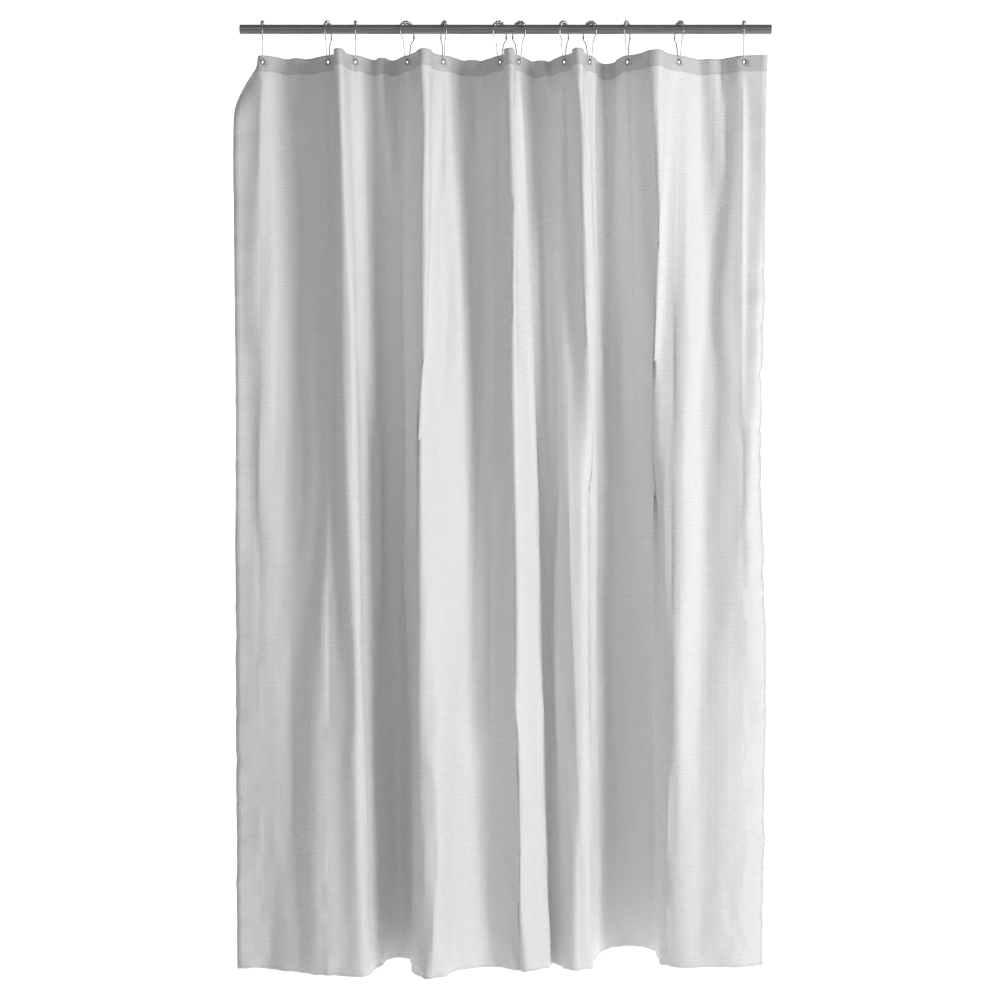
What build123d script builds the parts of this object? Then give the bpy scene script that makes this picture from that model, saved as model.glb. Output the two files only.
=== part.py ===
from build123d import *
import os
from math import asin, atan2, cos, degrees, radians, sin, sqrt

# A shower curtain hanging from a straight rod on twelve roller-ball hooks.
# X runs along the rod, -Y is the side that faces the room and +Z is up.
# The origin is on the rod's axis, half way along it. Sizes are in millimetres.

# ---- rod
rod_length = 1050.0
rod_diameter = 19.0
rod_wall = 1.0

# ---- hooks: a pear-shaped wire with five balls over its top
hook_wire_diameter = 2.2
hook_to_rod = 20.0 / 9.5     # half the pear's width beside the rod's radius
hook_drop = 62.7            # from the rod's axis to the underside of the wire
shoulder_angle = 45.0       # how far the top arc runs below its own centre
leg_lean = 8.8              # degrees off vertical
foot_radius = 6.5           # the bend that the cloth hangs from
catch_overlap_start = 190.0
catch_overlap_end = 208.0
ball_diameter = 8.0
side_ball_places = (-2, -1, 1, 2)

# ---- where each hook stands along the rod, and how far it is turned about the vertical
hook_places = (
    (-480.5, 7.0), (-351.0, -14.0), (-296.5, 4.0), (-194.5, -39.0),
    (-122.5, 17.0), (-11.5, -40.0), (26.5, 38.0), (115.5, -27.0),
    (166.5, 37.0), (240.5, -19.0), (343.0, 21.0), (471.0, -7.0),
)

# ---- curtain
curtain_height = 1800.0
cloth_thickness = 0.6
cloth_above_hole = 6.6      # from the top edge down to the buttonhole's thread
cloth_per_bay = 154.5       # cloth from one buttonhole to the next
fold_fullness = 0.86        # depth of a fold beside that of a flat zigzag
left_margin = 46.5          # how far the side edges stand past the end hooks
right_margin = 46.0
edge_setback = 9.0          # the side edges stand this far off the hooks' line
# the bottom edge, at places one half-bay of cloth apart, as (along the rod, behind it)
foot_folds = (
    (-528, -10), (-477, -13), (-414, -41), (-350, -67), (-272, -70), (-249, -6),
    (-222, 62), (-189, 40), (-179, -38), (-143, -98), (-97, -36), (-32, 0), (30, -30),
    (72, -17), (94, 20), (148, -35), (176, 38), (192, 115), (234, 175), (299, 159),
    (308, 81), (318, 3), (391, -7), (470, -3), (515, 22),
)
heading_height = 31.5
side_hem_width = 5.0
side_hem_lengths = 20
bottom_hem_height = 5.0
hem_thickness = 0.4

# ---- buttonholes: a slot bound in thread
slot_width = 6.4
slot_height = 9.4
binding_width = 1.4
binding_proud = 0.4         # how far the thread stands off each face of the cloth

# ---- clearances
ball_gap = 0.5              # ball over rod
ball_side_gap = 0.487       # from one ball to the next
wire_catch_gap = 0.3        # between the two ends of the wire, side by side
bore_gap = 0.3              # wire inside a ball, past the bend of the wire
slot_gap = 1.1              # wire under the rounded top of its buttonhole
binding_gap = 0.3           # thread inside the hole cut in the cloth
layer_gap = 0.3             # between the cloth and the hem turned against it
hem_gap = 0.3               # between one hem and the next at the corners

# ---- sizes that follow
rod_radius = rod_diameter / 2
hook_half_width = rod_radius * hook_to_rod
ball_radius = ball_diameter / 2
ball_spread = 2 * degrees(asin((ball_diameter + ball_side_gap) / (2 * hook_half_width)))
wire_radius = hook_wire_diameter / 2
top_of_wire = rod_radius + ball_gap + ball_radius
arc_height = top_of_wire - hook_half_width
foot_height = -hook_drop + wire_radius + foot_radius
bend_in_ball = hook_half_width - sqrt(hook_half_width**2 - ball_radius**2)
bore_radius = wire_radius + bend_in_ball + bore_gap
slot_top = -hook_drop + hook_wire_diameter + slot_gap
slot_middle = slot_top - slot_height / 2
hole_width = slot_width + 2 * (binding_width + binding_gap)
hole_height = slot_height + 2 * (binding_width + binding_gap)
cloth_top = slot_middle + hole_height / 2 + cloth_above_hole
cloth_bottom = cloth_top - curtain_height
hem_near = cloth_thickness / 2 + layer_gap
hem_far = hem_near + hem_thickness


def finish(builder, label):
    builder.part.label = label
    export_step(builder.part, f"parts/{label}.step")


def hook_plane(place, turn):
    # local x points to the room when the hook isn't turned, local y is up
    facing = (sin(radians(turn)), -cos(radians(turn)), 0)
    away = (-cos(radians(turn)), -sin(radians(turn)), 0)
    return Plane(origin=(place, 0, 0), x_dir=facing, z_dir=away)


def shoulder_radius(arc_radius):
    # the reverse bend that meets the top arc and the straight leg with no corner
    lean = radians(leg_lean)
    start = radians(shoulder_angle)
    across = arc_radius * cos(start)
    down = arc_height - arc_radius * sin(start) - foot_height
    spare = across * cos(lean) - down * sin(lean) - foot_radius
    return spare / (1 - cos(start - lean))


def shoulder_centre(arc_radius, side):
    reach = arc_radius + shoulder_radius(arc_radius)
    across = side * reach * cos(radians(shoulder_angle))
    return across, arc_height - reach * sin(radians(shoulder_angle))


def leg_ends(arc_radius, side):
    centre_x, centre_y = shoulder_centre(arc_radius, side)
    radius = shoulder_radius(arc_radius)
    lean = radians(leg_lean)
    top = (centre_x - side * radius * cos(lean), centre_y + radius * sin(lean))
    foot = (side * foot_radius * cos(lean), foot_height - foot_radius * sin(lean))
    return top, foot


def make_hook_wire(place, turn):
    plane = hook_plane(place, turn)
    bend = shoulder_angle - leg_lean
    outer_radius = hook_half_width + hook_wire_diameter + wire_catch_gap
    catch_sweep = 180 + shoulder_angle - catch_overlap_start
    with BuildPart() as wire:
        with BuildLine(plane) as path:
            CenterArc((0, arc_height), hook_half_width, -shoulder_angle,
                      shoulder_angle + catch_overlap_end)
            CenterArc(shoulder_centre(hook_half_width, 1),
                      shoulder_radius(hook_half_width), 180 - shoulder_angle, bend)
            Line(*leg_ends(hook_half_width, 1))
            CenterArc((0, foot_height), foot_radius, 180 + leg_lean, 180 - 2 * leg_lean)
            Line(*leg_ends(outer_radius, -1))
            CenterArc(shoulder_centre(outer_radius, -1),
                      shoulder_radius(outer_radius), leg_lean, bend)
            CenterArc((0, arc_height), outer_radius, catch_overlap_start, catch_sweep)
        route = path.wires()[0]
        with BuildSketch(Plane(origin=route @ 0, z_dir=route % 0)):
            Circle(wire_radius)
        sweep(path=route)
    return wire


def ball_plane(place, turn, step):
    # centred on the wire, with its normal along the wire
    plane = hook_plane(place, turn)
    angle = radians(90 - step * ball_spread)
    across = hook_half_width * cos(angle)
    up = arc_height + hook_half_width * sin(angle)
    along = plane.x_dir * -sin(angle) + plane.y_dir * cos(angle)
    return Plane(origin=plane.from_local_coords((across, up, 0)), z_dir=along)


def make_balls(place, turn, steps):
    with BuildPart() as balls:
        with Locations(*[ball_plane(place, turn, step) for step in steps]):
            Sphere(ball_radius)
            Cylinder(bore_radius, ball_diameter, mode=Mode.SUBTRACT)
    return balls


def bend(start, heading, end):
    # the arc that leaves start along heading and reaches end, as centre, signed radius,
    # start angle and sweep; the radius is positive when the centre lies to the left
    left = heading.rotate(Axis.Z, 90)
    chord = end - start
    radius = chord.dot(chord) / (2 * left.dot(chord))
    centre = start + left * radius
    first = start - centre
    last = end - centre
    sweep = degrees(atan2(first.cross(last).Z, first.dot(last)))
    return centre, radius, degrees(atan2(first.Y, first.X)), sweep


def two_bends(start, heading, end, end_heading):
    # two arcs that join two points smoothly, with the given heading at each
    chord = end - start
    both = heading + end_heading
    apart = 2 * (1 - heading.dot(end_heading))
    along = chord.dot(both)
    reach = (sqrt(along**2 + apart * chord.dot(chord)) - along) / apart
    middle = (start + end + (heading - end_heading) * reach) / 2
    first = bend(start, heading, middle)
    last = bend(end, -end_heading, middle)
    centre, radius, angle, sweep = last
    return [first, (centre, -radius, angle + sweep, -sweep)]


def top_stations():
    # where the cloth crosses each hook squarely, with a fold to the back or the front between
    first, last = hook_places[0], hook_places[-1]
    crossings = [(Vector(place, 0), Vector(1, 0).rotate(Axis.Z, turn))
                 for place, turn in hook_places]
    stations = [(Vector(first[0] - left_margin, -edge_setback), Vector(1, 0))]
    side = 1
    for (here, heading), (there, _) in zip(crossings, crossings[1:]):
        width = there.X - here.X
        depth = fold_fullness * sqrt(cloth_per_bay**2 - width**2) / 2
        stations.append((here, heading))
        stations.append((Vector(here.X + width / 2, side * depth), Vector(1, 0)))
        side = -side
    stations.append(crossings[-1])
    stations.append((Vector(last[0] + right_margin, -edge_setback), Vector(1, 0)))
    return stations


def foot_stations():
    # the same places along the cloth at its bottom, where the folds stand deeper
    points = [Vector(*place) for place in foot_folds]
    ways = [after - before for before, after in zip(points, points[2:])]
    headings = [points[1] - points[0], *ways, points[-1] - points[-2]]
    return [(point, heading.normalized()) for point, heading in zip(points, headings)]


def stations_at(height):
    # the outline at any height, part of the way from the top one to the foot
    share = (cloth_top - height) / curtain_height
    return [
        (high + (low - high) * share, (heading + (way - heading) * share).normalized())
        for (high, heading), (low, way) in zip(top_stations(), foot_stations())
    ]


def bends_at(height):
    bends = []
    stations = stations_at(height)
    for (here, heading), (there, next_heading) in zip(stations, stations[1:]):
        bends += two_bends(here, heading, there, next_heading)
    return bends


def on_bend(one, distance, share):
    # a point of a bend's parallel line, at a distance behind the cloth's middle
    centre, radius, angle, sweep = one
    spoke = Vector(1, 0).rotate(Axis.Z, angle + share * sweep)
    return centre + spoke * (radius - distance) * (1 if radius > 0 else -1)


def draw_layer(near, far, height):
    # one layer's outline at a height, across the whole width of the cloth
    bends = bends_at(height)
    with BuildSketch(Plane.XY.offset(height)) as outline:
        with BuildLine():
            for distance in (near, far):
                for one in bends:
                    ThreePointArc(*[on_bend(one, distance, share) for share in (0, 0.5, 1)])
            Line(on_bend(bends[0], near, 0), on_bend(bends[0], far, 0))
            Line(on_bend(bends[-1], near, 1), on_bend(bends[-1], far, 1))
        make_face()
    return outline.sketch


def make_layer(near, far, bottom, top):
    with BuildPart() as layer:
        loft([draw_layer(near, far, height) for height in (bottom, top)], ruled=True)
    return layer


def side_hem_corners(height, at_left):
    # a side hem is so narrow that its outline is a flat strip behind the cloth's edge
    edge_bend = bends_at(height)[0 if at_left else -1]
    length = abs(edge_bend[1]) * radians(abs(edge_bend[3]))
    inner = side_hem_width / length
    shares = (0, inner) if at_left else (1, 1 - inner)
    corners = [on_bend(edge_bend, hem_near, share) for share in shares]
    return corners + [on_bend(edge_bend, hem_far, share) for share in reversed(shares)]


def make_side_hem(bottom, top, at_left):
    # short lengths one above the other, because the strip twists on its way down
    low, high = side_hem_corners(bottom, at_left), side_hem_corners(top, at_left)
    with BuildPart() as side_hem:
        for step in range(side_hem_lengths + 1):
            share = step / side_hem_lengths
            corners = [under + (over - under) * share for under, over in zip(low, high)]
            with BuildSketch(Plane.XY.offset(bottom + (top - bottom) * share)):
                with BuildLine():
                    Polyline(*corners, close=True)
                make_face()
        loft(ruled=True)
    return side_hem


def buttonhole_plane(place, turn):
    # square to the hook, with its normal along the way that the wire passes through
    return Plane(
        origin=(place, 0, slot_middle),
        x_dir=(cos(radians(turn)), sin(radians(turn)), 0),
        z_dir=(sin(radians(turn)), -cos(radians(turn)), 0),
    )


def make_buttonhole(place, turn):
    depth = 2 * (hem_far + binding_proud)
    outer_width = slot_width + 2 * binding_width
    with BuildPart() as binding:
        with BuildSketch(buttonhole_plane(place, turn)):
            SlotOverall(slot_height + 2 * binding_width, outer_width, rotation=90)
            SlotOverall(slot_height, slot_width, rotation=90, mode=Mode.SUBTRACT)
        extrude(amount=depth / 2, both=True)
    return binding


def make_holed_layer(near, far, bottom, top):
    # a layer with the twelve holes that the thread bindings sit in
    through = 4 * binding_proud + 4 * hem_far
    with BuildPart() as holed:
        add(make_layer(near, far, bottom, top).part)
        for place, turn in hook_places:
            with BuildSketch(buttonhole_plane(place, turn)):
                SlotOverall(hole_height, hole_width, rotation=90)
            extrude(amount=through, both=True, mode=Mode.SUBTRACT)
    return holed


os.makedirs("parts", exist_ok=True)

# ---- the rod, an open tube
with BuildPart() as rod_tube:
    with BuildSketch(Plane.YZ.offset(-rod_length / 2)):
        Circle(rod_radius)
        Circle(rod_radius - rod_wall, mode=Mode.SUBTRACT)
    extrude(amount=rod_length)
finish(rod_tube, "rod_tube")

# ---- the hooks, each with the ball that rolls on the rod and four more beside it
for number, (place, turn) in enumerate(hook_places, start=1):
    finish(make_hook_wire(place, turn), f"hook_wire_{number:02d}")
    finish(make_balls(place, turn, (0,)), f"top_ball_{number:02d}")
    finish(make_balls(place, turn, side_ball_places), f"side_balls_{number:02d}")
    finish(make_buttonhole(place, turn), f"buttonhole_{number:02d}")

# ---- the curtain: the cloth, and its four edges turned over to the back
heading_bottom = cloth_top - heading_height
bottom_hem_top = cloth_bottom + bottom_hem_height
cloth = make_holed_layer(-cloth_thickness / 2, cloth_thickness / 2, cloth_bottom, cloth_top)
finish(cloth, "curtain_cloth")
finish(make_holed_layer(hem_near, hem_far, heading_bottom, cloth_top), "heading_hem")
finish(make_layer(hem_near, hem_far, cloth_bottom, bottom_hem_top), "bottom_hem")
for label, at_left in (("left_side_hem", True), ("right_side_hem", False)):
    side_hem = make_side_hem(bottom_hem_top + hem_gap, heading_bottom - hem_gap, at_left)
    finish(side_hem, label)
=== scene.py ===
import math
import random

import bpy
import bmesh
import numpy as np
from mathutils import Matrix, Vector


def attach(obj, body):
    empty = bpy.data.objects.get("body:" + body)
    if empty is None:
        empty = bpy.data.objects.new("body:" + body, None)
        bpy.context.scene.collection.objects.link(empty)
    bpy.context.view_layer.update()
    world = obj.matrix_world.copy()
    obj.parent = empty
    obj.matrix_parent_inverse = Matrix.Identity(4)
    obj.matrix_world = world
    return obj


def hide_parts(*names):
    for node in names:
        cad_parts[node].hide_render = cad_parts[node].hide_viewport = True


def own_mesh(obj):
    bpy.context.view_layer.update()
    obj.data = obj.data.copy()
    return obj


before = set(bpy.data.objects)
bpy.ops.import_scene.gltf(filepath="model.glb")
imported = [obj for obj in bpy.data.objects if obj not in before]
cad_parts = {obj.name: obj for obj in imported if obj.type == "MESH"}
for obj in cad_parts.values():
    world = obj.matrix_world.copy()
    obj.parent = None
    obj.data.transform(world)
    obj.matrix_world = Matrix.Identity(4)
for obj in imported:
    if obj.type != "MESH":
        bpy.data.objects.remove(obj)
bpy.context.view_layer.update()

# Curtain on a straight rod: X along the rod, -Y faces the room, +Z up, metres.
# The origin is on the rod's axis, half way along it.


def newObject(name, mesh):
    made = bpy.data.objects.new(name, mesh)
    bpy.context.scene.collection.objects.link(made)
    return made


def setInputs(node, **values):
    for key, value in values.items():
        node.inputs[key.replace("_", " ")].default_value = value
    return node


def newMaterial(name):
    made = bpy.data.materials.new(name)
    made.use_nodes = True
    tree = made.node_tree
    return made, tree, tree.nodes["Principled BSDF"]


def maths(tree, kind, first, second=None, third=None, clamp=False):
    node = tree.nodes.new("ShaderNodeMath")
    node.operation = kind
    node.use_clamp = clamp
    for place, value in enumerate((first, second, third)):
        if value is None:
            continue
        if isinstance(value, (int, float)):
            node.inputs[place].default_value = value
        else:
            tree.links.new(value, node.inputs[place])
    return node.outputs[0]


def noiseOf(tree, vector, scale, detail=2.0, rough=0.5, stretch=(1, 1, 1)):
    mapping = tree.nodes.new("ShaderNodeMapping")
    mapping.inputs["Scale"].default_value = stretch
    tree.links.new(vector, mapping.inputs["Vector"])
    node = tree.nodes.new("ShaderNodeTexNoise")
    setInputs(node, Scale=scale, Detail=detail, Roughness=rough)
    tree.links.new(mapping.outputs["Vector"], node.inputs["Vector"])
    return node.outputs["Fac"]


def rampOf(tree, factor, stops):
    node = tree.nodes.new("ShaderNodeValToRGB")
    band = node.color_ramp
    while len(band.elements) < len(stops):
        band.elements.new(0.5)
    for element, (place, colour) in zip(band.elements, stops):
        element.position = place
        element.color = (*colour, 1)
    tree.links.new(factor, node.inputs["Fac"])
    return node.outputs["Color"]


def bumpOf(tree, height, strength, distance, before=None):
    node = tree.nodes.new("ShaderNodeBump")
    setInputs(node, Strength=strength, Distance=distance)
    tree.links.new(height, node.inputs["Height"])
    if before is not None:
        tree.links.new(before, node.inputs["Normal"])
    return node.outputs["Normal"]


def dropLoose(mesh):
    work = bmesh.new()
    work.from_mesh(mesh)
    bmesh.ops.delete(work, geom=[v for v in work.verts if not v.link_faces], context="VERTS")
    work.to_mesh(mesh)
    work.free()


view = {
    "distance": 3.70,          # from the camera to the rod
    "eyeHeight": -0.930,       # half way down the curtain
    "eyeAlong": -0.011,
    "lens": 67.4,
    "sensorWidth": 36.0,
    "skyStrength": 0.22,
}
# place, target, power, width and height of each light
lights = {
    "keyLight": ((2.95, -2.45, -0.35), (0.0, 0, -0.95), 80.0, 1.2, 2.2),
    "fillLight": ((-2.2, -3.4, -0.9), (0, 0, -1.0), 1.0, 1.6, 1.8),
    # a long strip over the camera, which shows as the bright line along the rod
    "stripLight": ((0, -3.3, 0.86), (0, 0, -0.3), 9.0, 3.2, 0.22),
}
# one sheet of paper: floor, a round corner and a wall behind
sweep = {
    "floor": -2.02,
    "front": -6.0,
    "bendStart": 4.2,
    "bendRadius": 1.2,
    "bendSteps": 12,
    "wallTop": 5.0,
    "halfWidth": 7.0,
    "glowSlope": 2.0,          # the glow grows from the front of the curtain to behind it
    "glowStart": 0.45,
    "glowRise": 0.62,
    "leastGlow": 0.12,
}


def makeCamera():
    data = bpy.data.cameras.new("roomCamera")
    data.lens = view["lens"]
    data.sensor_width = view["sensorWidth"]
    made = bpy.data.objects.new("roomCamera", data)
    made.location = (view["eyeAlong"], -view["distance"], view["eyeHeight"])
    made.rotation_euler = (math.radians(90), 0, 0)
    bpy.context.scene.collection.objects.link(made)
    bpy.context.scene.camera = made


def areaLight(name, place, target, power, width, height):
    data = bpy.data.lights.new(name, "AREA")
    data.shape = "RECTANGLE"
    data.size = width
    data.size_y = height
    data.energy = power
    made = bpy.data.objects.new(name, data)
    made.location = place
    made.rotation_euler = (Vector(target) - Vector(place)).to_track_quat("-Z", "Y").to_euler()
    bpy.context.scene.collection.objects.link(made)


def makeLights():
    for name, values in lights.items():
        areaLight(name, *values)
    world = bpy.data.worlds.new("paleRoom")
    world.use_nodes = True
    setInputs(world.node_tree.nodes["Background"], Color=(1, 1, 1, 1),
              Strength=view["skyStrength"])
    bpy.context.scene.world = world


def makeSweep():
    floor, bend, radius = sweep["floor"], sweep["bendStart"], sweep["bendRadius"]
    profile = [(sweep["front"], floor), (bend, floor)]
    for step in range(1, sweep["bendSteps"] + 1):
        turn = math.radians(90 * step / sweep["bendSteps"])
        profile.append((bend + radius * math.sin(turn), floor + radius * (1 - math.cos(turn))))
    profile.append((bend + radius, sweep["wallTop"]))
    mesh = bpy.data.meshes.new("paleSweep")
    points = [(side * sweep["halfWidth"], y, z) for y, z in profile for side in (-1, 1)]
    faces = [(2 * i, 2 * i + 1, 2 * i + 3, 2 * i + 2) for i in range(len(profile) - 1)]
    mesh.from_pydata(points, [], faces)
    mesh.polygons.foreach_set("use_smooth", [True] * len(faces))
    made = newObject("paleSweep", mesh)
    material, tree, shader = newMaterial("palePaper")
    setInputs(shader, Base_Color=(0.93, 0.93, 0.93, 1), Roughness=0.9,
              Specular_IOR_Level=0.1, Emission_Color=(1, 1, 1, 1))
    # the paper glows behind and under the curtain, so it stays white beside it
    split = tree.nodes.new("ShaderNodeSeparateXYZ")
    tree.links.new(tree.nodes.new("ShaderNodeTexCoord").outputs["Object"], split.inputs[0])
    glow = maths(tree, "MULTIPLY_ADD", split.outputs["Y"], sweep["glowSlope"],
                 sweep["glowStart"], clamp=True)
    tree.links.new(maths(tree, "MULTIPLY_ADD", glow, sweep["glowRise"], sweep["leastGlow"]),
                   shader.inputs["Emission Strength"])
    mesh.materials.append(material)


makeCamera()
makeLights()
makeSweep()
bpy.context.scene.view_settings.view_transform = "Standard"
print("stage: camera, lights and sweep")


weave = {
    "pitch": 0.0048,           # from one rib or cord to the next
    "ribShare": 0.7,           # ribs run across the cloth, cords down it
    "cordShare": 0.3,
    "wander": 3.0,
    # painted shade: how much the base colour darkens in the weave's grooves
    "shade": 0.050,
    "headingShadeEdge": 0.0325,     # painted shade on the turned-over heading reaches down to here
    "headingPaintedShade": -0.22,
    "blueTint": 1.004,
    "roughness": 0.46,
    "sheen": 0.18,
}


def makeClothMaterial(name, tone, heading):
    # waffle weave on the cloth's own flat UV map, which is in metres
    material, tree, shader = newMaterial(name)
    uv = tree.nodes.new("ShaderNodeTexCoord").outputs["UV"]
    split = tree.nodes.new("ShaderNodeSeparateXYZ")
    tree.links.new(uv, split.inputs[0])
    across, up = split.outputs["X"], split.outputs["Y"]
    wobble = noiseOf(tree, uv, 9.0, 2.0, 0.5)
    ribs, cords = [
        maths(tree, "SINE", maths(tree, "MULTIPLY_ADD", way, 2 * math.pi / weave["pitch"],
                                  maths(tree, "MULTIPLY", wobble, weave["wander"])))
        for way in (up, across)]
    waffle = maths(tree, "MULTIPLY_ADD", cords, weave["cordShare"],
                   maths(tree, "MULTIPLY", ribs, weave["ribShare"]))
    patches = noiseOf(tree, uv, 2.2, 3.0, 0.55, (1, 0.5, 1))
    amount = maths(tree, "MULTIPLY", waffle, maths(tree, "MULTIPLY_ADD", patches, 0.9, 0.1))
    slub = noiseOf(tree, uv, 160.0, 2.0, 0.6, (4.0, 0.25, 1))
    # base colour: the cloth's tone with random slub, and painted shade in the weave's grooves
    shade = maths(tree, "MULTIPLY_ADD", amount, weave["shade"],
                  maths(tree, "MULTIPLY_ADD", slub, 0.05, tone - 0.025))
    if heading:
        # painted shade: the base colour is darkened over the turned-over heading, standing in for
        # the less light that the double layer lets through
        band = maths(tree, "SMOOTH_MIN", 1.0, maths(
            tree, "MULTIPLY",
            maths(tree, "SUBTRACT", up, 1.8 - weave["headingShadeEdge"]), 900.0), 0.1)
        band = maths(tree, "MAXIMUM", band, 0.0, clamp=True)
        shade = maths(tree, "MULTIPLY", shade,
                      maths(tree, "MULTIPLY_ADD", band, weave["headingPaintedShade"], 1.0))
    mix = tree.nodes.new("ShaderNodeCombineColor")
    tree.links.new(shade, mix.inputs["Red"])
    tree.links.new(shade, mix.inputs["Green"])
    tree.links.new(maths(tree, "MULTIPLY", shade, weave["blueTint"]), mix.inputs["Blue"])
    tree.links.new(mix.outputs[0], shader.inputs["Base Color"])
    creases = noiseOf(tree, uv, 26.0, 3.0, 0.55, (0.5, 1.7, 1))
    low = maths(tree, "MULTIPLY_ADD", up, -0.9, 1.15, clamp=True)
    creases = maths(tree, "MULTIPLY", creases, low)
    streaks = noiseOf(tree, uv, 34.0, 2.0, 0.5, (1, 0.035, 1))
    normal = None
    for height, strength, distance in ((streaks, 0.5, 0.0040), (creases, 0.4, 0.0045),
                                       (amount, 0.75, 0.0007), (slub, 0.25, 0.0002)):
        normal = bumpOf(tree, height, strength, distance, normal)
    tree.links.new(normal, shader.inputs["Normal"])
    setInputs(shader, Roughness=weave["roughness"], Specular_IOR_Level=0.42,
              Sheen_Weight=weave["sheen"], Sheen_Roughness=0.4)
    return material


def makeMetal(name, colour, rough, metallic, streak):
    # bright wire or tube, with fine drawing marks and faint smears
    material, tree, shader = newMaterial(name)
    place = tree.nodes.new("ShaderNodeTexCoord").outputs["Object"]
    smear = noiseOf(tree, place, 60.0, 3.0, 0.55)
    marks = noiseOf(tree, place, 900.0, 1.0, 0.5, streak)
    tint = rampOf(tree, smear, [(0.3, tuple(c * 0.9 for c in colour)), (0.7, colour)])
    tree.links.new(tint, shader.inputs["Base Color"])
    roughness = maths(tree, "MULTIPLY_ADD", smear, rough * 0.5, rough * 0.75)
    tree.links.new(roughness, shader.inputs["Roughness"])
    tree.links.new(bumpOf(tree, marks, 0.12, 0.0001), shader.inputs["Normal"])
    setInputs(shader, Metallic=metallic)
    return material


def makeThreadMaterial(name, tone):
    material, tree, shader = newMaterial(name)
    place = tree.nodes.new("ShaderNodeTexCoord").outputs["Object"]
    fibres = noiseOf(tree, place, 1400.0, 2.0, 0.6, (1, 1, 0.3))
    low, high = tone * 0.82, tone
    tree.links.new(rampOf(tree, fibres, [(0.35, (low, low, low)), (0.65, (high, high, high))]),
                   shader.inputs["Base Color"])
    tree.links.new(bumpOf(tree, fibres, 0.4, 0.0002), shader.inputs["Normal"])
    setInputs(shader, Roughness=0.6, Sheen_Weight=0.2)
    return material


clothFinish = makeClothMaterial("waffleCloth", 0.85, True)
# painted shade: the folded hems use the same cloth with a darker base tone, standing in for the
# shade of the doubled layers
hemShadedFinish = makeClothMaterial("foldedClothPaintedShade", 0.68, False)
threadFinish = makeThreadMaterial("sewingThread", 0.62)
# painted shade: the buttonhole thread is near black, standing in for the shadow in the holes
# round the hook wire
holeThreadShadeFinish = makeThreadMaterial("shadeDarkButtonholeThread", 0.10)
rodFinish = makeMetal("darkPolishedTube", (0.24, 0.24, 0.245), 0.17, 0.60, (0.05, 1, 1))
wireFinish = makeMetal("chromeWire", (0.62, 0.60, 0.60), 0.12, 1.0, (1, 1, 0.2))
ballFinish = makeMetal("chromeBall", (0.62, 0.60, 0.60), 0.10, 1.0, (1, 1, 1))
print("stage: finishes")


cloth = {
    "width": 1.792,            # flat size of the finished panel
    "height": 1.800,
    "topZ": -0.0511,
    "thickness": 0.0005,
    "leftMargin": 0.0465,      # side edge to the first buttonhole
    "perBay": 0.1545,          # cloth from one buttonhole to the next
    "fullness": 0.86,
    "holeDown": 0.0130,        # top edge to the middle of a buttonhole
    "holeHalfWidth": 0.0034,
    "holeHalfHeight": 0.0050,
    "columnsPerBay": 13,
    "rowStep": 0.0092,
    "frontEdge": 0.42,         # 1 is a round fold, less is a sharper one
    "backEdge": 0.70,
    "settleColumns": 150,
    "settleRows": 148,
}
# each hook's place along the rod, and its turn about the vertical in degrees
hookPlaces = (
    (-0.4805, 7.0), (-0.3510, -14.0), (-0.2965, 4.0), (-0.1945, -39.0),
    (-0.1225, 17.0), (-0.0115, -40.0), (0.0265, 38.0), (0.1155, -27.0),
    (0.1665, 37.0), (0.2405, -19.0), (0.3430, 21.0), (0.4710, -7.0),
)
# the bottom edge, half a bay of cloth apart: along the rod and behind it
footFolds = (
    (-0.530, -0.010), (-0.477, -0.013), (-0.414, -0.041), (-0.350, -0.067),
    (-0.272, -0.070), (-0.249, -0.006), (-0.222, 0.062), (-0.189, 0.040),
    (-0.179, -0.038), (-0.143, -0.098), (-0.097, -0.036), (-0.032, 0.000),
    (0.030, -0.030), (0.072, -0.017), (0.094, 0.020), (0.148, -0.035), (0.176, 0.038),
    (0.192, 0.115), (0.234, 0.175), (0.299, 0.159), (0.308, 0.081), (0.318, 0.003),
    (0.391, -0.007), (0.470, -0.003), (0.515, 0.022),
)


# small folds that start at the heading: bay, depth, half width, how far down, drift
smallFolds = (
    (0, 0.024, 0.015, 0.17, 0.04), (2, 0.047, 0.015, 0.285, 0.10), (4, 0.020, 0.011, 0.22, -0.10),
    (6, 0.026, 0.013, 0.12, 0.25), (10, 0.020, 0.015, 0.30, 0.16),
)


def hookWay(turn):
    # direction of the cloth where it crosses a hook
    angle = math.radians(turn)
    return np.array([math.cos(angle), math.sin(angle), 0.0])


def topStations():
    # over each hook square to it, with a fold to the back or the front between
    first = hookPlaces[0][0]
    points = [(first - 0.006, 0.043)]
    ways = [(0.15, -0.99)]
    side = 1
    for (here, turn), (there, _) in zip(hookPlaces, hookPlaces[1:]):
        wide = there - here
        deep = cloth["fullness"] * math.sqrt(cloth["perBay"] ** 2 - wide ** 2) / 2
        points += [(here, 0.0), (here + wide / 2, side * deep)]
        ways += [tuple(hookWay(turn)[:2]), (1, 0)]
        side = -side
    last, turn = hookPlaces[-1]
    points += [(last, 0.0), (last + 0.046, -0.009)]
    ways += [tuple(hookWay(turn)[:2]), (1, 0)]
    return np.array(points), np.array(ways)


def footStations():
    points = np.array(footFolds)
    ways = np.vstack([points[1] - points[0], points[2:] - points[:-2],
                      points[-1] - points[-2]])
    return points, ways / np.linalg.norm(ways, axis=1)[:, None]


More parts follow.
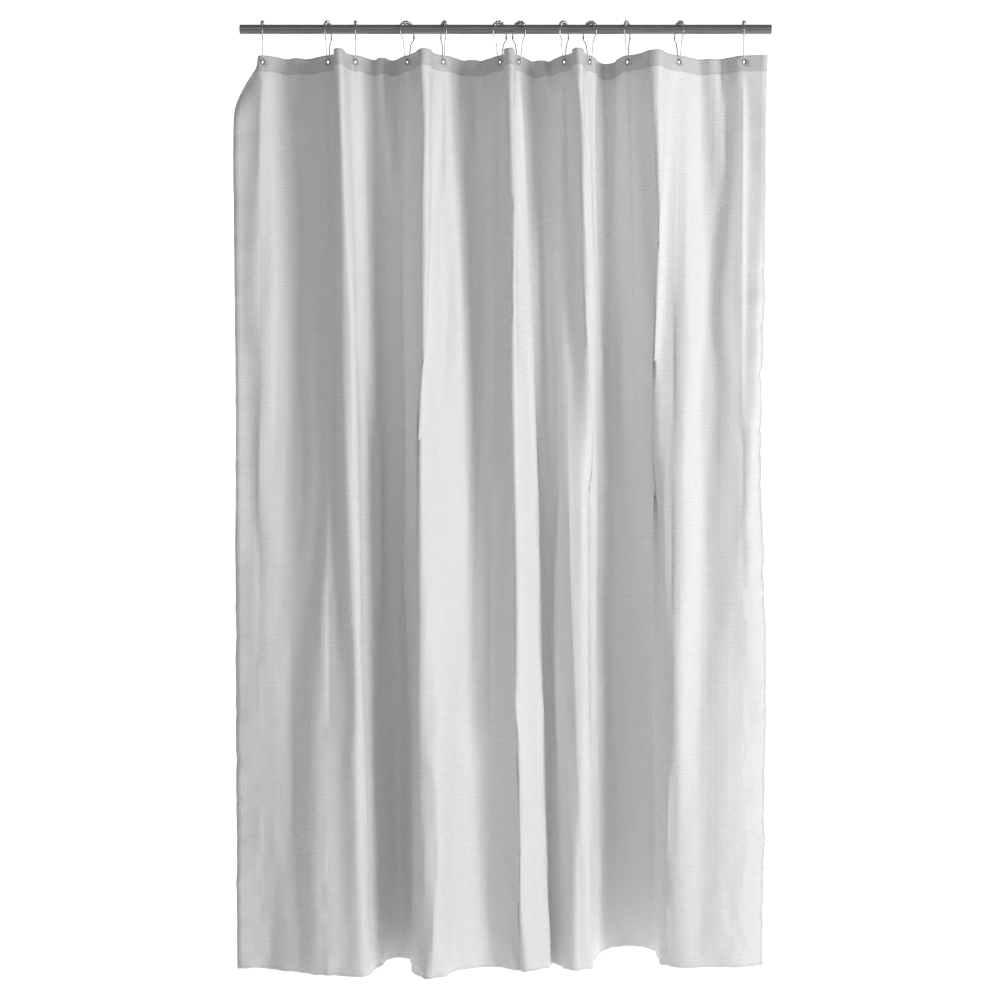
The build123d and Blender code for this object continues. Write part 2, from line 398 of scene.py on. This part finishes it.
def flatPlaces():
    # columns and rows of the flat cloth, closer together at the buttonholes
    holes = [cloth["leftMargin"] + cloth["perBay"] * k for k in range(12)]
    half = cloth["holeHalfWidth"]
    near = (-half, -0.55 * half, 0.0, 0.55 * half, half)
    columns = list(np.linspace(0, holes[0] - half, 5)[:-1])
    for k, here in enumerate(holes):
        columns += [here + step for step in near]
        end = holes[k + 1] - half if k < 11 else cloth["width"]
        count = cloth["columnsPerBay"] if k < 11 else 4
        columns += list(np.linspace(here + half, end, count + 1)[1:])
        if k < 11:
            columns.pop()
    tall = cloth["holeHalfHeight"]
    rows = [0.0, 0.0035, cloth["holeDown"] - tall, cloth["holeDown"] - tall / 2,
            cloth["holeDown"], cloth["holeDown"] + tall / 2, cloth["holeDown"] + tall]
    rows += [0.0245, 0.0300]
    count = round((cloth["height"] - 0.0380) / cloth["rowStep"])
    rows += list(np.linspace(0.0380, cloth["height"] - 0.0050, count))
    rows += [cloth["height"]]
    return np.array(columns), np.array(rows), holes


def hermite(places, stations, ways, reach, wanted):
    # smooth outline through the stations, at the wanted distances along the cloth
    which = np.clip(np.searchsorted(places, wanted, "right") - 1, 0, len(places) - 2)
    step = places[which + 1] - places[which]
    share = ((wanted - places[which]) / step)[:, None]
    a, b = stations[which], stations[which + 1]
    u = ways[which] * (step * reach[which])[:, None]
    v = ways[which + 1] * (step * reach[which + 1])[:, None]
    q, c = share ** 2, share ** 3
    return ((2 * c - 3 * q + 1) * a + (c - 2 * q + share) * u
            + (3 * q - 2 * c) * b + (c - q) * v)


def deeper(points, span):
    # how much deeper the folds must be for the outline to use up its cloth
    low, high = 0.7, 2.0
    for _ in range(18):
        middle = (low + high) / 2
        length = np.linalg.norm(np.diff(points * [1, middle], axis=0), axis=1).sum()
        low, high = (middle, high) if length < span else (low, middle)
    return middle


def hangingShape(columns, rows, holes):
    stationPlaces = [0.0]
    for k in range(12):
        stationPlaces.append(holes[k])
        if k < 11:
            stationPlaces.append(holes[k] + cloth["perBay"] / 2)
    stationPlaces = np.array(stationPlaces + [cloth["width"]])
    top, topWays = topStations()
    foot, footWays = footStations()
    generator = random.Random(12)
    wander = [(generator.uniform(0, 6.28), generator.uniform(0, 6.28),
               generator.uniform(2.2, 4.5)) for _ in stationPlaces]
    spans = [np.linalg.norm(np.diff(ends[1:], axis=0), axis=1).sum() for ends in (top, foot)]
    reach = np.ones(len(stationPlaces))
    for k in range(11):
        reach[2 * k + 2] = cloth["frontEdge"] if k % 2 else cloth["backEdge"]
    grid = np.zeros((len(rows), len(columns), 3))
    for i, down in enumerate(rows):
        share = down / cloth["height"]
        share = share + 0.10 * math.sin(math.pi * share)
        points = top + (foot - top) * share
        # the free left edge opens out below the first hook
        opened = math.sin(math.pi / 2 * min(1.0, down / 0.21)) ** 0.9
        edge = np.array([-0.546, -0.012]) * (1 - share) + foot[0] * share
        points[0] = top[0] * (1 - opened) + edge * opened
        sway = math.sin(math.pi * min(1.0, down / 1.8)) * 0.006
        for j, (phase, other, turns) in enumerate(wander[1:-1], 1):
            points[j, 0] += sway * math.sin(phase + turns * down)
            points[j, 1] += sway * math.sin(other + turns * 1.3 * down)
        points[1:, 1] *= deeper(points[1:], spans[0] + (spans[1] - spans[0]) * share)
        ways = topWays + (footWays - topWays) * min(1.0, share * 1.6)
        if opened > 0:
            ways[0] = topWays[0] * (1 - opened) + np.array([1.0, -0.1]) * opened
        ways /= np.linalg.norm(ways, axis=1)[:, None]
        grid[i, :, :2] = hermite(stationPlaces, points, ways, reach, columns)
        grid[i, :, 2] = cloth["topZ"] - down
    return keepWidths(grid, columns)


def keepWidths(grid, columns):
    # even out each row until every cell has its flat width again
    want = np.diff(columns)[None, :]
    flatPart = grid[..., :2]
    depth = np.linspace(0, 1, len(grid))[1:-1, None, None]
    even = 0.03 + 0.42 * np.clip((depth - 0.08) / 0.14, 0, 1)
    for _ in range(140):
        for start in (0, 1):
            count = (flatPart.shape[1] - start) // 2
            a = flatPart[:, start:start + 2 * count:2]
            b = flatPart[:, start + 1:start + 2 * count:2]
            gap = b - a
            length = np.linalg.norm(gap, axis=2, keepdims=True) + 1e-9
            over = (length - want[:, start:start + 2 * count:2, None]) / length * gap * 0.45
            a += over
            b -= over
        # no small zigzags along a row, and rows keep to their neighbours
        curl = flatPart[:, :-2] - 2 * flatPart[:, 1:-1] + flatPart[:, 2:]
        flatPart[:, 2:-2] -= 0.012 * (curl[:, :-2] - 2 * curl[:, 1:-1] + curl[:, 2:])
        for _ in range(2):
            middle = (flatPart[:-2] + flatPart[2:]) / 2
            flatPart[1:-1] += (middle - flatPart[1:-1]) * even
    return grid


def resample(grid, places, wanted, axis):
    # smooth curve through the settled points, read at the finer places
    grid = np.moveaxis(grid, axis, 0)
    step = places[1] - places[0]
    which = np.clip(((wanted - places[0]) / step).astype(int), 0, len(places) - 2)
    share = ((wanted - places[which]) / step)[:, None, None]
    last = len(places) - 1
    p0, p1 = grid[np.maximum(which - 1, 0)], grid[which]
    p2, p3 = grid[which + 1], grid[np.minimum(which + 2, last)]
    p0 = np.where((which == 0)[:, None, None], 2 * p1 - p2, p0)
    p3 = np.where((which == last - 1)[:, None, None], 2 * p2 - p1, p3)
    made = p1 + 0.5 * share * (p2 - p0 + share * (
        2 * p0 - 5 * p1 + 4 * p2 - p3 + share * (3 * (p1 - p2) + p3 - p0)))
    return np.moveaxis(made, 0, axis)


def holdHoles(grid, columns, rows, holes):
    # round each hook the cloth stays flat and square to the wire
    for (place, turn), here in zip(hookPlaces, holes):
        way = hookWay(turn)
        beside = np.clip((0.018 - np.abs(columns - here)) / 0.010, 0, 1)
        above = np.clip((0.060 - rows) / 0.034, 0, 1)
        hold = (beside ** 2 * (3 - 2 * beside))[None, :] * (above ** 2 * (3 - 2 * above))[:, None]
        flat = np.zeros_like(grid)
        flat[...] = np.array([place, 0.0, cloth["topZ"]]) + (columns - here)[None, :, None] * way
        flat[..., 2] -= rows[:, None]
        grid += (flat - grid) * hold[..., None]
    return grid


relief = {
    "edgeRise": 0.0045,        # puckers down the side edges
    "seamRise": 0.0022,        # waves under the heading
    "seamWaves": 9,
    "crestRise": 0.0045,       # sharp fronts of the folds
    "crestHalfWidth": 0.010,
    "creaseRise": 0.0024,      # creases left from folding, in the lower part
    "creases": 46,
    "freeEdge": 0.011,         # how far the left edge stands out
}


def pucker(grid, columns, rows, holes):
    # stitching draws the cloth up a little along its edges and under the heading
    generator = random.Random(5)
    normal = normalsOf(grid)
    across, down = columns[None, :], rows[:, None]
    rise = np.zeros(grid.shape[:2])
    for edge, inward in ((0.0, 1), (cloth["width"], -1)):
        inside = (across - edge) * inward
        spot = 0.16
        while spot < 1.76:
            slant = generator.uniform(-0.5, 0.9)
            size = (generator.uniform(0.4, 1.0) * relief["edgeRise"]
                    * generator.choice((-1, 1, 1)))
            tall, wide = generator.uniform(0.008, 0.014), generator.uniform(0.018, 0.040)
            rise += size * np.exp(-(inside / wide) ** 2
                                  - ((down - spot + slant * inside) / tall) ** 2)
            spot += generator.uniform(0.028, 0.095)
    seam = np.exp(-np.abs(down - 0.040) / 0.026)
    for _ in range(relief["seamWaves"]):
        wave, phase = generator.uniform(150, 300), generator.uniform(0, 6.28)
        place, spread = generator.uniform(0, 1.79), generator.uniform(0.1, 0.5)
        rise += relief["seamRise"] * seam * np.sin(wave * across + phase) * np.exp(
            -((across - place) / spread) ** 2)
    # a small fold inside a bay starts at the heading and runs out lower down
    forward = np.zeros(grid.shape[:2])
    for bay, deep, wide, end, drift in smallFolds:
        run = np.clip(1 - down / end, 0, 1)
        middle = holes[bay] + cloth["perBay"] * (0.5 + drift * (1 - run))
        forward += deep * run ** 0.7 * np.exp(-((across - middle) / wide) ** 2)
    # each front fold has a narrow crest
    for bay in (1, 3, 5, 7, 9):
        near = (columns > holes[bay] - 0.01) & (columns < holes[bay + 1] + 0.03)
        crest = columns[near][np.argmin(grid[:, near, 1], axis=1)]
        crest = np.convolve(np.pad(crest, 30, "edge"), np.ones(61) / 61, "valid")[:, None]
        forward += (relief["crestRise"] * (1 - 0.5 * down / cloth["height"])
                    * np.clip(1.3 - down / 0.65, 0, 1)
                    * np.exp(-((across - crest) / relief["crestHalfWidth"]) ** 2))
    for _ in range(relief["creases"]):
        x, z = generator.uniform(0.05, 1.75), generator.uniform(0.95, 1.76)
        wide, tall = generator.uniform(0.014, 0.045), generator.uniform(0.007, 0.012)
        slant = generator.uniform(-0.35, 0.35)
        size = generator.uniform(0.3, 1.0) * relief["creaseRise"] * generator.choice((-1, 1))
        rise += size * np.exp(-((across - x) / wide) ** 2
                              - ((down - z + slant * (across - x)) / tall) ** 2)
    moved = grid + normal * rise[..., None]
    moved[..., 1] -= forward
    # the free left edge stands out a little where the hook lets it go
    moved[..., 0] -= (relief["freeEdge"] * np.clip(1 - across / 0.11, 0, 1) ** 1.5
                      * np.clip(down / 0.1, 0, 1) * np.exp(-((down - 0.15) / 0.5) ** 2))
    return moved


def gridMesh(name, points, across, down, drop=()):
    # a grid of points as a sheet, whose UV map is its flat size in metres
    tall, wide = points.shape[:2]
    index = np.arange(tall * wide).reshape(tall, wide)
    faces = np.stack([index[:-1, :-1], index[:-1, 1:], index[1:, 1:], index[1:, :-1]], -1)
    faces = [tuple(int(v) for v in face) for i, line in enumerate(faces)
             for j, face in enumerate(line) if (i, j) not in drop]
    mesh = bpy.data.meshes.new(name)
    mesh.from_pydata(points.reshape(-1, 3).tolist(), [], faces)
    layer = mesh.uv_layers.new(name="flatSize")
    flat = np.broadcast_arrays(across, cloth["height"] - down)
    flat = np.stack(flat, -1).reshape(-1, 2)
    loops = np.zeros(len(mesh.loops), int)
    mesh.loops.foreach_get("vertex_index", loops)
    layer.data.foreach_set("uv", flat[loops].ravel())
    mesh.polygons.foreach_set("use_smooth", [True] * len(mesh.polygons))
    return mesh


hang = {
    "frames": 30,
    "quality": 5,
    "mass": 0.02,
    "tension_stiffness": 12,
    "compression_stiffness": 8,
    "shear_stiffness": 2,
    "bending_stiffness": 0.05,
    "tension_damping": 6,
    "compression_damping": 6,
    "air_damping": 3,
    "pin_stiffness": 0.25,
}


def settle(grid, columns, rows, holes):
    # a short hang under gravity: the buttonholes hold, the folds keep near their places
    mesh = gridMesh("hangingCloth", grid, columns[None, :], rows[:, None])
    work = newObject("hangingCloth", mesh)
    work.shape_key_add(name="Basis")
    flat = work.shape_key_add(name="flat")
    across = (columns - columns.mean())[None, :] * np.ones((len(rows), 1))
    points = np.zeros_like(grid)
    points[..., 0] = across
    points[..., 2] = cloth["topZ"] - rows[:, None]
    flat.data.foreach_set("co", points.ravel())
    flat.value = 0.0
    weights = work.vertex_groups.new(name="holdFolds")
    down = rows[:, None] * np.ones((1, len(columns)))
    hold = 0.10 + 0.25 * np.exp(-down / 0.08)
    for here in holes:
        near = (np.abs(columns - here)[None, :] < 0.0095) & (down < 0.030)
        hold = np.where(near, 1.0, hold)
    for place, weight in enumerate(hold.ravel()):
        weights.add([place], float(weight), "REPLACE")
    body = work.modifiers.new("Cloth", "CLOTH")
    settings = body.settings
    for key, value in hang.items():
        if key != "frames":
            setattr(settings, key, value)
    settings.vertex_group_mass = "holdFolds"
    settings.rest_shape_key = flat
    settings.use_dynamic_mesh = False
    body.collision_settings.use_collision = False
    scene = bpy.context.scene
    scene.gravity = (0, 0, -9.81)
    body.point_cache.frame_start = 1
    body.point_cache.frame_end = hang["frames"]
    for step in range(1, hang["frames"] + 1):
        scene.frame_set(step)
    done = work.evaluated_get(bpy.context.evaluated_depsgraph_get()).to_mesh()
    result = np.zeros(len(done.vertices) * 3)
    done.vertices.foreach_get("co", result)
    result = result.reshape(grid.shape)
    bpy.data.objects.remove(work)
    scene.frame_set(1)
    return result


def normalsOf(grid):
    # points to the back of the cloth
    along = np.gradient(grid, axis=1)
    down = np.gradient(grid, axis=0)
    normal = np.cross(along, down)
    return normal / (np.linalg.norm(normal, axis=2, keepdims=True) + 1e-12)


def cellsOfHoles(columns, rows, holes, grid):
    # cells inside each buttonhole go, and the rim left is rounded
    drop = set()
    top = int(np.argmin(np.abs(rows - (cloth["holeDown"] - cloth["holeHalfHeight"]))))
    for (place, turn), here in zip(hookPlaces, holes):
        left = int(np.argmin(np.abs(columns - (here - cloth["holeHalfWidth"]))))
        drop |= {(top + i, left + j) for i in range(4) for j in range(4)}
        way = hookWay(turn)
        middle = np.array([place, 0, cloth["topZ"] - cloth["holeDown"]])
        for i in range(5):
            for j in range(5):
                if i in (0, 4) or j in (0, 4):
                    x, z = (j - 2) / 2, (2 - i) / 2
                    size = math.hypot(x, z)
                    grid[top + i, left + j] = (
                        middle + way * (x / size * cloth["holeHalfWidth"])
                        + np.array([0, 0, z / size * cloth["holeHalfHeight"]]))
    return drop


columns, rows, holes = flatPlaces()
evenColumns = np.linspace(0, cloth["width"], cloth["settleColumns"])
evenRows = np.linspace(0, cloth["height"], cloth["settleRows"])
grid = hangingShape(evenColumns, evenRows, holes)
grid = settle(grid, evenColumns, evenRows, holes)
grid = resample(resample(grid, evenColumns, columns, 1), evenRows, rows, 0)
grid = pucker(grid, columns, rows, holes)
grid = holdHoles(grid, columns, rows, holes)
print("stage: cloth hung,", len(columns), "columns and", len(rows), "rows")

dropped = cellsOfHoles(columns, rows, holes, grid)
clothMesh = gridMesh("curtainCloth", grid, columns[None, :], rows[:, None], dropped)
clothMesh.materials.append(clothFinish)
dropLoose(clothMesh)
curtainCloth = newObject("curtainCloth", clothMesh)
thick = curtainCloth.modifiers.new("thickness", "SOLIDIFY")
thick.thickness = cloth["thickness"]
thick.offset = 0.0
print("stage: cloth mesh")


hems = {
    "headingDepth": 0.0315,
    "bottomDepth": 0.0050,
    "sideWidth": 0.0050,
    "offset": 0.0010,          # from the middle of the cloth to the middle of the hem
    "thickness": 0.0005,
    "stitchPitch": 0.0032,
    "stitchLength": 0.0024,
    "stitchRadius": 0.00036,
}
clothNormals = normalsOf(grid)


def clothPoints(across, down, offset):
    # places on the hung cloth, from flat distances, moved towards the back by offset
    across, down, offset = np.broadcast_arrays(
        *(np.asarray(v, float) for v in (across, down, offset)))
    j = np.clip(np.searchsorted(columns, across, "right") - 1, 0, len(columns) - 2)
    i = np.clip(np.searchsorted(rows, down, "right") - 1, 0, len(rows) - 2)
    u = ((across - columns[j]) / (columns[j + 1] - columns[j]))[..., None]
    v = ((down - rows[i]) / (rows[i + 1] - rows[i]))[..., None]
    spots = []
    for source in (grid, clothNormals):
        spots.append((source[i, j] * (1 - u) + source[i, j + 1] * u) * (1 - v)
                     + (source[i + 1, j] * (1 - u) + source[i + 1, j + 1] * u) * v)
    return spots[0] + spots[1] * offset[..., None]


def makeHem(name, across, down, offset, drop=()):
    # a strip of cloth laid against the back of the curtain
    mesh = gridMesh(name, clothPoints(across, down, offset), across, down, drop)
    mesh.materials.append(hemShadedFinish)
    dropLoose(mesh)
    made = newObject(name, mesh)
    wall = made.modifiers.new("thickness", "SOLIDIFY")
    wall.thickness = hems["thickness"]
    wall.offset = 0.0
    return made


def makeHems():
    far, full = hems["offset"], cloth["height"]
    wide = cloth["width"]
    inHeading = rows < hems["headingDepth"]
    down = np.append(rows[inHeading], hems["headingDepth"])
    offset = np.full(len(down), far)
    offset[0], offset[-1] = far * 0.45, far * 0.62
    heading = makeHem("headingHem", columns[None, :], down[:, None], offset[:, None], dropped)
    down = np.array([full, full - 0.0002, full - hems["bottomDepth"] * 0.9,
                     full - hems["bottomDepth"]])
    offset = np.array([far * 0.45, far, far, far * 0.6])
    order = slice(None, None, -1)
    bottom = makeHem("bottomHem", columns[None, :], down[order, None], offset[order, None])
    made = [heading, bottom]
    inner = hems["sideWidth"]
    tall = rows[(rows > hems["headingDepth"]) & (rows < full - hems["bottomDepth"])][:, None]
    steps = np.array([0.0, 0.0002, inner * 0.9, inner])
    offset = np.array([far * 0.45, far, far, far * 0.6])
    made.append(makeHem("leftHem", steps[None, :], tall, offset[None, :]))
    made.append(makeHem("rightHem", wide - steps[None, order], tall, offset[None, order]))
    return made


hemPieces = makeHems()
print("stage: hems")


def makeThreadTree():
    tree = bpy.data.node_groups.new("threadAlongPath", "GeometryNodeTree")
    face = tree.interface
    face.new_socket("Geometry", in_out="INPUT", socket_type="NodeSocketGeometry")
    for name, value in (("Pitch", 0.0032), ("Thread Length", 0.0024), ("Thread Radius", 0.0004)):
        face.new_socket(name, in_out="INPUT", socket_type="NodeSocketFloat").default_value = value
    face.new_socket("Material", in_out="INPUT", socket_type="NodeSocketMaterial")
    face.new_socket("Geometry", in_out="OUTPUT", socket_type="NodeSocketGeometry")
    add, link = tree.nodes.new, tree.links.new
    start, end = add("NodeGroupInput"), add("NodeGroupOutput")
    path = add("GeometryNodeMeshToCurve")
    points = add("GeometryNodeCurveToPoints")
    points.mode = "LENGTH"
    stitch = add("GeometryNodeMeshUVSphere")
    setInputs(stitch, Segments=6, Rings=4, Radius=1.0)
    size = add("ShaderNodeCombineXYZ")
    half = add("ShaderNodeMath")
    half.operation = "MULTIPLY"
    half.inputs[1].default_value = 0.5
    shape = add("GeometryNodeTransform")
    vary = add("FunctionNodeRandomValue")
    vary.data_type = "FLOAT"
    vary.inputs[2].default_value = 0.88
    vary.inputs[3].default_value = 1.10
    vary.inputs["Seed"].default_value = 7
    place = add("GeometryNodeInstanceOnPoints")
    solid = add("GeometryNodeRealizeInstances")
    smooth = add("GeometryNodeSetShadeSmooth")
    finish = add("GeometryNodeSetMaterial")
    link(start.outputs["Geometry"], path.inputs["Mesh"])
    link(path.outputs["Curve"], points.inputs["Curve"])
    link(start.outputs["Pitch"], points.inputs["Length"])
    link(start.outputs["Thread Length"], half.inputs[0])
    link(start.outputs["Thread Radius"], size.inputs["X"])
    link(start.outputs["Thread Radius"], size.inputs["Y"])
    link(half.outputs[0], size.inputs["Z"])
    link(stitch.outputs["Mesh"], shape.inputs["Geometry"])
    link(size.outputs["Vector"], shape.inputs["Scale"])
    link(points.outputs["Points"], place.inputs["Points"])
    link(points.outputs["Rotation"], place.inputs["Rotation"])
    link(shape.outputs["Geometry"], place.inputs["Instance"])
    link(vary.outputs[1], place.inputs["Scale"])
    link(place.outputs["Instances"], solid.inputs["Geometry"])
    link(solid.outputs["Geometry"], smooth.inputs["Geometry"])
    link(smooth.outputs["Geometry"], finish.inputs["Geometry"])
    link(start.outputs["Material"], finish.inputs["Material"])
    link(finish.outputs["Geometry"], end.inputs["Geometry"])
    return tree


threadTree = makeThreadTree()


def sewAlong(name, paths, pitch, length, radius, material):
    # paths are lists of points, each with whether it closes on itself
    points, edges = [], []
    for path, closed in paths:
        first = len(points)
        points += [tuple(map(float, p)) for p in path]
        edges += [(first + i, first + i + 1) for i in range(len(path) - 1)]
        if closed:
            edges.append((len(points) - 1, first))
    mesh = bpy.data.meshes.new(name + "Path")
    mesh.from_pydata(points, edges, [])
    guide = newObject(name + "Path", mesh)
    sew = guide.modifiers.new("thread", "NODES")
    sew.node_group = threadTree
    values = {"Pitch": pitch, "Thread Length": length, "Thread Radius": radius,
              "Material": material}
    for item in threadTree.interface.items_tree:
        if item.in_out == "INPUT" and item.name in values:
            sew[item.identifier] = values[item.name]
    bpy.context.view_layer.update()
    solid = guide.evaluated_get(bpy.context.evaluated_depsgraph_get())
    result = bpy.data.meshes.new_from_object(solid)
    result.name = name
    bpy.data.objects.remove(guide)
    if not result.materials:
        result.materials.append(material)
    return newObject(name, result)


def makeStitching():
    along = np.linspace(0.001, cloth["width"] - 0.001, 900)
    down = np.linspace(hems["headingDepth"] + 0.003, cloth["height"] - 0.006, 800)
    inner = hems["sideWidth"] - 0.0012
    paths = []
    for offset in (-0.00035, hems["offset"] + 0.00035):
        for depth in (hems["headingDepth"] - 0.0018,
                      cloth["height"] - hems["bottomDepth"] + 0.0012):
            paths.append((clothPoints(along, depth, offset), False))
        for edge in (inner, cloth["width"] - inner):
            paths.append((clothPoints(edge, down, offset), False))
    return sewAlong("hemStitching", paths, hems["stitchPitch"], hems["stitchLength"],
                    hems["stitchRadius"], threadFinish)


buttonhole = {
    "halfWidth": 0.0031,
    "halfHeight": 0.0046,
    "wrapPitch": 0.00060,
    "wrapRadius": 0.00115,
    "wrapLength": 0.00074,     # of one turn of thread, along the rim
    "back": 0.0003,            # the ring sits a little behind the middle of the cloth
}


def makeButtonhole(number, place, turn):
    way, behind = hookWay(turn), hookWay(turn + 90)
    middle = np.array([place, 0, cloth["topZ"] - cloth["holeDown"]])
    middle = middle + behind * buttonhole["back"]
    ring = [middle + way * buttonhole["halfWidth"] * math.cos(a)
            + np.array([0, 0, buttonhole["halfHeight"] * math.sin(a)])
            for a in np.linspace(0, 2 * math.pi, 97)[:-1]]
    made = sewAlong(f"buttonholeThread_{number:02d}", [(ring, True)], buttonhole["wrapPitch"],
                    buttonhole["wrapLength"], buttonhole["wrapRadius"], holeThreadShadeFinish)
    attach(made, f"hole_{number:02d}")
    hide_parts(f"buttonhole_{number:02d}")
    return made


stitching = makeStitching()
for number, (place, turn) in enumerate(hookPlaces, 1):
    makeButtonhole(number, place, turn)
print("stage: stitching and buttonholes,", len(stitching.data.polygons), "faces in the hems")


hemNodes = ("heading_hem", "bottom_hem", "left_side_hem", "right_side_hem")
for piece in (curtainCloth, *hemPieces, stitching):
    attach(piece, "curtain")
    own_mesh(piece)
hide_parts("curtain_cloth")
for piece, node in zip(hemPieces, hemNodes):
    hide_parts(node)

for name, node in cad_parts.items():
    finish = None
    if name == "rod_tube":
        finish = rodFinish
    elif name.startswith("hook_wire"):
        finish = wireFinish
    elif "ball" in name:
        finish = ballFinish
    if finish:
        for place in node.material_slots:
            place.material = finish
